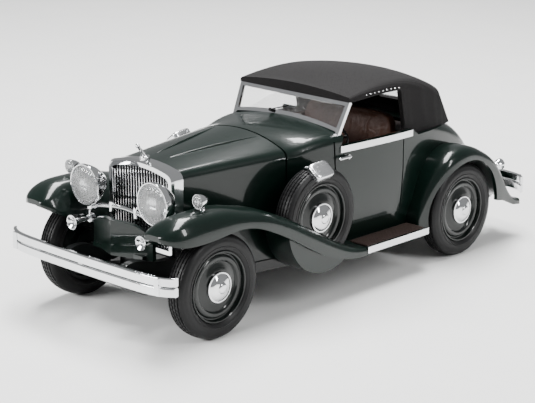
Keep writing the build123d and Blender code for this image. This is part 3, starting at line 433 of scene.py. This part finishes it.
def add_piece(name, bm, finish, like, replaced=(), sharp=32):
    """Makes the mesh an object with the given finish that rides as the design's part called like does."""
    bmesh.ops.remove_doubles(bm, verts=bm.verts, dist=0.001 * MM)
    bmesh.ops.recalc_face_normals(bm, faces=bm.faces)
    mesh = bpy.data.meshes.new(name)
    bm.to_mesh(mesh)
    bm.free()
    mesh.shade_smooth()
    mesh.set_sharp_from_angle(angle=math.radians(sharp))
    mesh.materials.append(finish)
    piece = bpy.data.objects.new(name, mesh)
    bpy.context.collection.objects.link(piece)
    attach(piece, body_of[like])
    if replaced:
        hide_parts(*replaced)


def middle(node):
    low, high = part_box(node)
    return (Vector(low) + Vector(high)) / 2


def box_mm(node):
    """The two corners of a node's box, in mm."""
    return (Vector(corner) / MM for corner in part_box(node))


# %% [markdown]
# ### Tyres
# A vinyl tyre has a rounded wall with raised rings, and a crowned tread with grooves round it. The section is
# spun with the grooves in it; the blocks of the tread come from insetting about every other face of the ribs,
# which is the quickest way to a repeated notch.

# %% Turn the tyres
DRAWN_RADIUS, DRAWN_HALF = 9.5, 2.1     # the size that the section is drawn at
SHOULDER = 8.4                          # points beyond this radius move with the tread
TREAD_STEPS = 132                       # steps of the spin; about every other one is notched
RIB_HALF, RIB_DEPTH = 1.42, 0.13        # the band of faces that counts as ribs
RIB_SLOPE = 0.4                         # and how far such a face may look sideways
NOTCH_EDGE, NOTCH_DEPTH = 0.05, 0.07


def tyre_section(radius, half):
    wall = [(1.6, 6.5), (1.92, 6.8), (2.02, 7.15), (2.09, 7.2), (2.09, 7.34), (2.02, 7.4), (2.07, 7.9),
            (2.02, 8.35), (1.93, 8.5), (1.93, 8.62), (1.84, 8.85), (1.62, 9.17), (1.4, 9.33)]
    tread = [(1.12, 9.40), (1.08, 9.24), (0.92, 9.24), (0.88, 9.44), (0.46, 9.48), (0.42, 9.3), (0.26, 9.3),
             (0.22, 9.5)]
    outer = [(x * half / DRAWN_HALF, r if r < SHOULDER else r + radius - DRAWN_RADIUS) for x, r in wall + tread]
    return outer + [(-x, r) for x, r in reversed(outer)]


def turn_tyre(centre, radius, half):
    """A tyre round the X axis through centre, in metres. The radius and the half width are in mm.

    The middle of a face falls on half a step, so the rounding below leaves a few notches doubled or missed.
    """
    bm = turned(tyre_section(radius, half), centre, (1, 0, 0), TREAD_STEPS, closed=True)
    bm.normal_update()
    notched = []
    for face in bm.faces:
        place = face.calc_center_median()
        reach = place - centre
        on_rib = abs(reach.x) < RIB_HALF * MM and reach.length > (radius - RIB_DEPTH) * MM
        step = round(math.atan2(place.z - centre.z, place.y - centre.y) / math.tau * TREAD_STEPS - 0.5)
        if on_rib and abs(face.normal.x) < RIB_SLOPE and step % 2 == 0:
            notched.append(face)
    bmesh.ops.inset_individual(bm, faces=notched, thickness=NOTCH_EDGE * MM, depth=-NOTCH_DEPTH * MM)
    return bm


wheel_tyres = [name for name in frame["nodes"] if name.startswith("tyre_")]
for name in wheel_tyres:
    low, high = (Vector(corner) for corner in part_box(name))
    bm = turn_tyre(middle(name), (high.z - low.z) / 2 / MM, (high.x - low.x) / 2 / MM)
    add_piece("grooved_" + name, bm, tyre_vinyl, name, [name])
low, high = (Vector(corner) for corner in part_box("spare_tyres"))
inner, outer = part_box("tyre_front_left")
half = (outer[0] - inner[0]) / 2
spare_centre = Vector((high.x - half, (low.y + high.y) / 2, (low.z + high.z) / 2))
bm = turn_tyre(spare_centre, (high.z - low.z) / 2 / MM, half / MM)
to_right_side(bm)
add_piece("grooved_spare_tyres", bm, tyre_vinyl, "spare_tyres", ["spare_tyres"])
print("tyres turned:", len(wheel_tyres) + 1)

# %% [markdown]
# ### Wheel discs and hub caps
# The disc is pressed sheet with a rolled rim, a raised ring and a dished middle. The bright cap is a shallow
# dome with a step round it. Both are turned, with short edges where a press would leave a small radius.

# %% Turn the discs and the caps
def disc_section(outward):
    section = [(-1.5, 6.45), (-1.5, 5.95), (-1.2, 5.7), (0.15, 5.45), (0.05, 3.1), (-1.25, 3.0), (-1.25, 0.85),
               (1.42, 0.85), (1.45, 2.75), (1.25, 3.4), (1.05, 4.2), (1.0, 4.5), (1.12, 4.66), (1.3, 4.78),
               (1.36, 5.0), (1.38, 5.25), (1.32, 5.5), (1.16, 5.66), (1.02, 5.78), (1.05, 5.92), (1.35, 6.02),
               (1.68, 6.1), (1.76, 6.2), (1.76, 6.38), (1.6, 6.49)]
    return [(outward * a, r) for a, r in section]


def cap_section(outward):
    section = [(1.5, 0.0), (1.5, 2.74), (1.72, 2.8), (1.84, 2.77), (1.88, 2.66), (1.88, 2.5), (2.12, 2.2),
               (2.34, 1.7), (2.46, 1.15), (2.5, 1.0), (2.6, 0.94), (2.7, 0.82), (2.76, 0.45), (2.78, 0.0)]
    return [(outward * a, r) for a, r in section]


for name in wheel_tyres:
    place = name.removeprefix("tyre_")
    side = 1 if place.endswith("left") else -1
    centre = middle(name)
    disc = turned(disc_section(side), centre, (1, 0, 0), closed=True)
    add_piece("pressed_disc_" + place, disc, wheel_enamel, "wheel_disc_" + place, ["wheel_disc_" + place])
    cap = turned(cap_section(side), centre, (1, 0, 0))
    add_piece("domed_cap_" + place, cap, plating, "hub_cap_" + place, ["hub_cap_" + place])
for name, section, finish, like in (("pressed_spare_discs", disc_section(1), wheel_enamel, "spare_discs"),
                                    ("domed_spare_caps", cap_section(1), plating, "spare_hub_caps")):
    bm = turned(section, spare_centre, (1, 0, 0), closed=like == "spare_discs")
    to_right_side(bm)
    add_piece(name, bm, finish, like, [like])
print("discs and caps turned")

# %% [markdown]
# ### Lamps
# A lamp is a deep bullet shell, a rolled bezel, a polished bowl inside and a domed glass with flutes. If the
# bowl were left out, the glass would show black, because a clear lens only shows what stands behind it. So
# the shell's section turns in at the bezel and comes back as the bowl.

# %% Turn the lamps
LAMP_STEPS, STEM_STEPS = 72, 24
FORWARD = (0, -1, 0)


def shell_section(r, length):
    """The outside from the tail to the bezel, then the bowl back to the axis."""
    outer = [(-length, 0.0), (-0.995 * length, 0.1 * r), (-0.93 * length, 0.25 * r), (-0.8 * length, 0.44 * r),
             (-0.6 * length, 0.67 * r), (-0.38 * length, 0.85 * r), (-0.18 * length, 0.955 * r),
             (-0.1 * length, 0.965 * r)]
    bezel = [(-0.09 * length, 0.995 * r), (-0.04 * length, r), (0.0, 0.995 * r), (0.02 * r, 0.97 * r),
             (0.015 * r, 0.93 * r), (-0.03 * r, 0.905 * r)]
    bowl = [(-0.14 * r, 0.86 * r), (-0.32 * r, 0.72 * r), (-0.48 * r, 0.5 * r), (-0.56 * r, 0.25 * r),
            (-0.58 * r, 0.0)]
    return outer + bezel + bowl


def glass_section(r, bulge):
    front = [(-0.03 * r, 0.9 * r), (0.35 * bulge, 0.8 * r), (0.7 * bulge, 0.56 * r), (0.94 * bulge, 0.28 * r),
             (bulge, 0.0)]
    thick = 0.05 * r
    return front + [(a - thick, rad * 0.97) for a, rad in reversed(front)]


def turned_stem(foot, height, radius):
    """An upright stem that narrows above its foot, all in mm."""
    section = [(0, 0), (0, radius), (0.25, 0.8 * radius), (height, 0.7 * radius), (height, 0)]
    return turned(section, foot * MM, (0, 0, 1), STEM_STEPS)


def merge_into(bm, other):
    mesh = bpy.data.meshes.new("merged")
    other.to_mesh(mesh)
    other.free()
    bm.from_mesh(mesh)
    bpy.data.meshes.remove(mesh)


def lamp_pair(name, centre, r, length, bulge, stem, shells, lenses):
    """Both sides of a lamp, sizes in mm. The nodes in shells and in lenses are the ones it stands in for."""
    shell = turned(shell_section(r, length), centre * MM, FORWARD, LAMP_STEPS)
    merge_into(shell, stem)
    to_right_side(shell)
    add_piece(name + "_shells", shell, plating, shells[0], shells)
    lens = turned(glass_section(r, bulge), centre * MM, FORWARD, LAMP_STEPS)
    to_right_side(lens)
    add_piece(name + "_glasses", lens, lamp_glass, lenses[0], lenses)


low, high = box_mm("headlamp_left")
radius, x = (high.x - low.x) / 2, (low.x + high.x) / 2
stem = turned_stem(Vector((x, low.y + 1.4, low.z)), 1.5, 0.75)
lamp_pair("headlamp", Vector((x, low.y, high.z - radius)), radius, high.y - low.y, 0.7, stem,
          ["headlamp_left", "headlamp_right"], ["headlamp_lenses"])
print("headlamp radius", round(radius, 2), "mm")
low, high = box_mm("wing_lamps")
front_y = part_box("wing_lamp_lenses")[0][1] / MM
radius, sunk, lap = 1.3, 0.05, 0.25     # how far the stem enters the wing and the lamp
x, foot_z = high.x - radius, low.z - sunk
stem = turned_stem(Vector((x, front_y + 1.4, foot_z)), high.z - 2 * radius + lap - foot_z, 0.6)
lamp_pair("wing_lamp", Vector((x, front_y + 0.3, high.z - radius)), radius, 2.6, 0.3, stem, ["wing_lamps"],
          ["wing_lamp_lenses"])

# %% [markdown]
# ### Radiator grille
# Upright bright fins stand in front of a dark core. They are one moulding on the real thing, but two finishes
# read better as two pieces. Each fin is a thin bar with its front edges bevelled.

# %% Make the grille's core and fins
def bevelled_block(bm, size, centre, bevel):
    """Adds a block with bevelled edges to bm, all in mm."""
    made = bmesh.ops.create_cube(bm, size=1.0)["verts"]
    bmesh.ops.scale(bm, verts=made, vec=Vector(size) * MM)
    bmesh.ops.translate(bm, verts=made, vec=Vector(centre) * MM)
    edges = {edge for vert in made for edge in vert.link_edges}
    bmesh.ops.bevel(bm, geom=list(edges), offset=bevel * MM, segments=2, profile=0.5, affect="EDGES",
                    material=-1)


low, high = box_mm("radiator_grille")
core_thick, core_drop = 0.9, 1.9        # the core ends this far below the top of the grille
core = bmesh.new()
bevelled_block(core, (high.x - low.x - 0.1, core_thick, high.z - low.z - core_drop),
               (0, high.y - 0.5, (low.z + high.z) / 2 - 0.85), 0.15)
add_piece("grille_core", core, trim_black, "radiator_grille", ["radiator_grille"])

fin_pitch, fin_count, fin_thick, fin_deep = 0.72, 21, 0.26, 0.95
arch_half, arch_drop = 6.25, 0.85       # the tops of the fins follow the arch of the shell
corner_x, corner_drop = 6.6, 0.55       # and step down in its rounded corners
fins = bmesh.new()
for k in range(fin_count):
    x = (k - (fin_count - 1) / 2) * fin_pitch
    top = high.z - 0.05 - arch_drop * (x / arch_half) ** 2 - (corner_drop if abs(x) > corner_x else 0.0)
    bevelled_block(fins, (fin_thick, fin_deep, top - low.z), (x, low.y + 0.48, (top + low.z) / 2), 0.06)
add_piece("grille_fins", fins, plating, "radiator_grille")
print("fins:", fin_count)

# %% [markdown]
# ### Seats
# The seats are moulded and painted to look like pleated leather. A block is cut into a fine grid, its corners
# are drawn in, its front is crowned, and a row of soft grooves makes the pleats. The grooves fade out before
# the edges, where the real cover would be sewn to its border.

# %% Mould the seats
PLEATS, PLEAT_DEPTH = 15, 0.42
BLOCK_POWER = 7                         # how square the corners of a block are
EDGE_FADE = 6                           # how late the pleats fade out before the edges


def pleated(size, crown, axis, side):
    """A rounded block of this size, in mm, about the origin, pleated on one side of an axis."""
    bm = bmesh.new()
    bmesh.ops.create_cube(bm, size=2.0)
    bmesh.ops.subdivide_edges(bm, edges=bm.edges[:], cuts=38, use_grid_fill=True)
    for vert in bm.verts:
        place = vert.co.copy()
        reach = sum(abs(part) ** BLOCK_POWER for part in place) ** (1 / BLOCK_POWER)
        rounded = place / max(reach, 1.0)
        if place[axis] * side > 0.9:
            inside = (1 - place.x ** EDGE_FADE) * (1 - place[3 - axis] ** EDGE_FADE)
            groove = abs(math.cos(math.pi * PLEATS * place.x / 2)) ** 9
            rounded[axis] += side * inside * (crown - PLEAT_DEPTH * groove) / size[axis] * 2
        vert.co = Vector([part * length / 2 for part, length in zip(rounded, size)]) * MM
    bmesh.ops.smooth_vert(bm, verts=bm.verts, factor=0.4, use_axis_x=True, use_axis_y=True, use_axis_z=True)
    return bm


low, high = box_mm("seat_cushion")
size = high - low
cushion = pleated((size.x - 0.2, size.y - 0.1, size.z - 0.7), 0.8, 2, 1)
bmesh.ops.translate(cushion, verts=cushion.verts, vec=((low + high) / 2 - Vector((0, 0, 0.3))) * MM)
add_piece("pleated_cushion", cushion, brown_leather, "seat_cushion", ["seat_cushion"], 60)
low, high = box_mm("seat_back")
lean = math.radians(8)
back = pleated((high.x - low.x - 0.2, 2.9, 17.0), 0.7, 1, -1)
bmesh.ops.rotate(back, verts=back.verts, cent=(0, 0, 0), matrix=Matrix.Rotation(-lean, 3, "X"))
bmesh.ops.translate(back, verts=back.verts, vec=((low + high) / 2 + Vector((0, 0.15, 0.1))) * MM)
add_piece("pleated_back", back, brown_leather, "seat_back", ["seat_back"], 60)
print("seats moulded")

# %% [markdown]
# ### Soft top trim
# The top is a stiff moulding, so its shape stays as designed and its grain is in the finish. What it still
# needs is the raised binding round each side window, and the small bright fasteners above the doors. A
# binding is a thin curve given a round section and then turned into a mesh.

# %% Add the bindings and the fasteners
def bound_edge(name, routes, radius, finish, like):
    """Thin round bindings along smooth routes, given in mm."""
    curve = bpy.data.curves.new(name, "CURVE")
    curve.dimensions = "3D"
    curve.bevel_depth = radius * MM
    curve.bevel_resolution = 3
    curve.use_fill_caps = True
    for route in routes:
        spline = curve.splines.new("NURBS")
        spline.points.add(len(route) - 1)
        for point, place in zip(spline.points, route):
            point.co = (*(Vector(place) * MM), 1.0)
        spline.order_u = 3
        spline.use_endpoint_u = True
        spline.resolution_u = 10
    helper = bpy.data.objects.new(name + "_helper", curve)
    bpy.context.collection.objects.link(helper)
    bpy.context.view_layer.update()
    mesh = bpy.data.meshes.new_from_object(helper.evaluated_get(bpy.context.evaluated_depsgraph_get()))
    bpy.data.objects.remove(helper)
    bpy.data.curves.remove(curve)
    bm = bmesh.new()
    bm.from_mesh(mesh)
    bpy.data.meshes.remove(mesh)
    add_piece(name, bm, finish, like, (), 60)


window_line = [(14.35, 2.6, 35.5), (14.38, 6.0, 35.7), (14.42, 10.0, 35.85), (14.4, 14.0, 35.85),
               (14.38, 15.6, 35.75)]
rear_line = [(14.38, 15.75, 35.6), (14.36, 16.1, 33.8), (14.34, 16.7, 31.0), (14.3, 17.3, 28.6)]
routes = [window_line, rear_line]
routes += [[(-x, y, z) for x, y, z in route] for route in routes]
bound_edge("window_bindings", routes, 0.14, top_canvas, "soft_top")

stud_count, stud_radius = 9, 0.17
row_start, row_length, row_rise = Vector((14.36, 5.6, 36.12)), 9.6, 0.12
studs = bmesh.new()
for k in range(stud_count):
    t = k / (stud_count - 1)
    place = row_start + Vector((0, row_length * t, row_rise * math.sin(math.pi * t)))
    made = bmesh.ops.create_uvsphere(studs, u_segments=12, v_segments=8, radius=stud_radius * MM)["verts"]
    bmesh.ops.scale(studs, verts=made, vec=(0.6, 1.5 if k % 2 else 1.0, 0.8))
    bmesh.ops.translate(studs, verts=made, vec=place * MM)
to_right_side(studs)
add_piece("top_fasteners", studs, plating, "belt_strips")
print("soft top trimmed")

# %% [markdown]
# ### Mirrors on the spares
# A mirror's head is a plated shell like a small cushion, so some part of it always faces the light. A ball
# with its points pushed outwards to a high power is that shape: the power sets how square it is.

# %% Press the mirror heads
def squared_ball(half_size, power):
    """A ball made square, with the half size given in mm."""
    bm = bmesh.new()
    bmesh.ops.create_icosphere(bm, subdivisions=4, radius=1.0)
    for vert in bm.verts:
        reach = sum(abs(part) ** power for part in vert.co) ** (-1 / power)
        vert.co = Vector([part * reach * half * MM for part, half in zip(vert.co, half_size)])
    return bm


spare_top = Vector((spare_centre.x, spare_centre.y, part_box("spare_tyres")[1][2]))
up = Vector((0.62, -0.1, 0.78)).normalized()
along = Vector((0.0, 1.0, 0.0))
along = (along - up * along.dot(up)).normalized()
stand = Matrix((along, up.cross(along), up)).transposed().to_4x4()
stand.translation = spare_top + Vector((1.9, -0.7, -0.3)) * MM
heads = squared_ball((2.3, 1.8, 0.82), 4.5)
bmesh.ops.transform(heads, matrix=stand, verts=heads.verts)
to_right_side(heads)
add_piece("mirror_heads", heads, satin_plating, "spare_mirrors")
print("mirror heads pressed")
